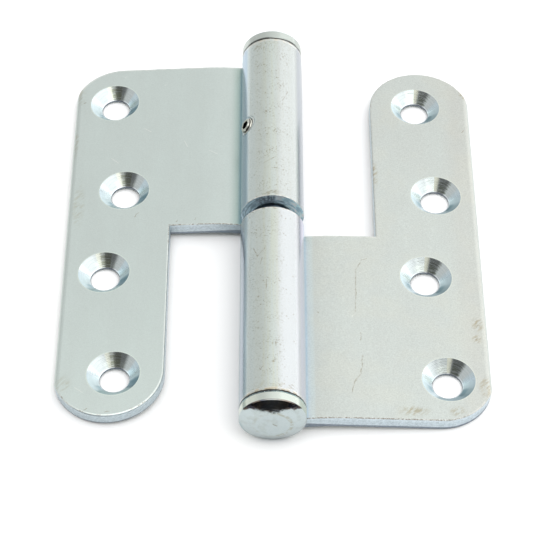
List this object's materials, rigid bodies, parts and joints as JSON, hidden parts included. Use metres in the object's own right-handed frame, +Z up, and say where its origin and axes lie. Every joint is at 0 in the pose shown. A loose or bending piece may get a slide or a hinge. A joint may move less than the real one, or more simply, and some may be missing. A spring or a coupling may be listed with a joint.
{
  "type": "lift-off hinge",
  "caption": "Lift-off door hinge: two rolled sheet leaves with countersunk holes on a fixed pin, with closed knuckle ends and a lock screw.",
  "frame": {"origin": "on the surface that the open hinge lies on, below the middle of the hinge axis", "axes": "+X across the leaves towards the lower leaf, +Y along the hinge axis towards the upper knuckle, +Z up out of the screw faces"},
  "size_m": [0.0986, 0.1178, 0.015],
  "materials": {
    "plated_sheet": "zinc-plated rolled sheet, satin, faintly blue-green, with brown specks and fine scratches",
    "plated_turned_steel": "zinc-plated turned steel, bright satin",
    "bare_ball_steel": "polished bearing ball",
    "screw_steel": "plain bright machine screw"
  },
  "bodies": {
    "lower": {"lower_leaf": "plated_sheet", "hinge_pin": "plated_turned_steel"},
    "ball": {"thrust_ball": "bare_ball_steel"},
    "upper": {"upper_leaf": "plated_sheet", "top_plug": "plated_turned_steel"},
    "screw": {"lock_screw": "screw_steel"}
  },
  "joints": [
    {"name": "lift", "type": "slide", "parent": "lower", "child": "ball", "axis": [0, 1, 0], "range_m": [0, 0.05]},
    {"name": "swing", "type": "hinge", "parent": "ball", "child": "upper", "pos_m": [0, 0, 0.0075], "axis": [0, 1, 0], "range_deg": [0, 185.8]},
    {"name": "lock_travel", "type": "slide", "parent": "upper", "child": "screw", "axis": [-0.8282, 0, 0.5604], "range_m": [-0.0013, 0.0025]}
  ]
}
